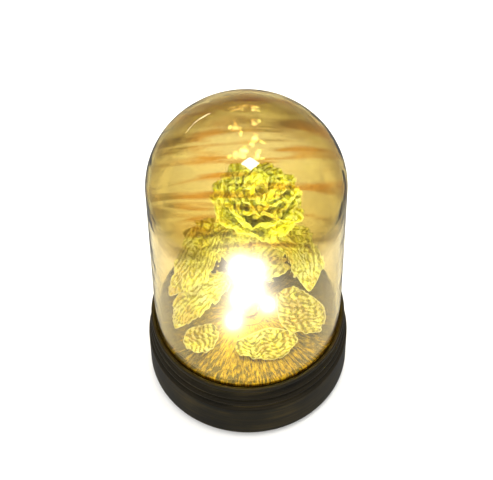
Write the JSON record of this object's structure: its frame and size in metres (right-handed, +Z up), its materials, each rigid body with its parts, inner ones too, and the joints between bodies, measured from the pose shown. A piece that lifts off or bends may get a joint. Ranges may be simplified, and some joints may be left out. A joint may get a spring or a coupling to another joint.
{
  "type": "battery lamp with a foil rose under a glass bell jar",
  "caption": "Cordless table light: a gold foil rose wound with an LED wire under a lift-off glass bell jar, on a turned wooden base with a switch and battery door below.",
  "frame": {"origin": "on the table, under the middle of the base", "axes": "+Z up, front towards -Y, +X to the right"},
  "size_m": [0.11, 0.11, 0.2],
  "materials": {
    "clear_glass": "clear, polished",
    "stained_wood": "black-brown stain, satin lacquer",
    "deck_board": "brown, matt",
    "gold_foil": "crinkled gold metallised foil",
    "leaf_foil": "veined gold metallised foil",
    "copper_wire": "lacquered copper with clear resin beads",
    "black_plastic": "fine grain",
    "steel": "nickel plated",
    "cell_sleeve": "plain shrink sleeve",
    "rubber_pad": "matt",
    "circuit_board": "solder resist",
    "red_plastic": "insulation"
  },
  "bodies": {
    "base": {"base_ring": "stained_wood", "deck_disc": "deck_board", "stem_socket": "gold_foil", "rose_stem": "leaf_foil", "rose_hip": "leaf_foil", "calyx": "leaf_foil", "petals_heart": "gold_foil", "petals_inner": "gold_foil", "petals_middle": "gold_foil", "petals_outer": "gold_foil", "petals_guard": "gold_foil", "heart_scroll": "gold_foil", "leaf_left": "leaf_foil", "leaf_right": "leaf_foil", "leaf_low": "leaf_foil", "leaf_back": "leaf_foil", "fallen_petal_left": "gold_foil", "fallen_petal_right": "gold_foil", "fallen_petal_front": "gold_foil", "led_string": "copper_wire", "bottom_plate": "black_plastic", "battery_tray": "black_plastic", "battery_cell_1": "cell_sleeve", "battery_cell_2": "cell_sleeve", "battery_cell_3": "cell_sleeve", "contact_negative": "steel", "contact_bridge_left": "steel", "contact_bridge_right": "steel", "contact_positive": "steel", "switch_body": "black_plastic", "switch_screw_1": "steel", "switch_screw_2": "steel", "plate_screw_1": "steel", "plate_screw_2": "steel", "plate_screw_3": "steel", "plate_screw_4": "steel", "rubber_foot_1": "rubber_pad", "rubber_foot_2": "rubber_pad", "rubber_foot_3": "rubber_pad", "rubber_foot_4": "rubber_pad", "driver_board": "circuit_board", "series_resistor": "red_plastic", "lead_negative": "black_plastic", "lead_positive": "red_plastic", "lead_switched": "red_plastic"},
    "jar": {"jar_glass": "clear_glass"},
    "knob": {"switch_knob": "black_plastic"},
    "door": {"battery_door": "black_plastic"}
  },
  "joints": [
    {"name": "jar_lift", "type": "slide", "parent": "base", "child": "jar", "axis": [0, 0, 1], "range_m": [0, 0.125]},
    {"name": "switch_slide", "type": "slide", "parent": "base", "child": "knob", "axis": [1, 0, 0], "range_m": [0, 0.0025]},
    {"name": "door_hinge", "type": "hinge", "parent": "base", "child": "door", "pos_m": [-0.02365, 0.003, 0.0041], "axis": [0, 1, 0], "range_deg": [0, 90]}
  ]
}
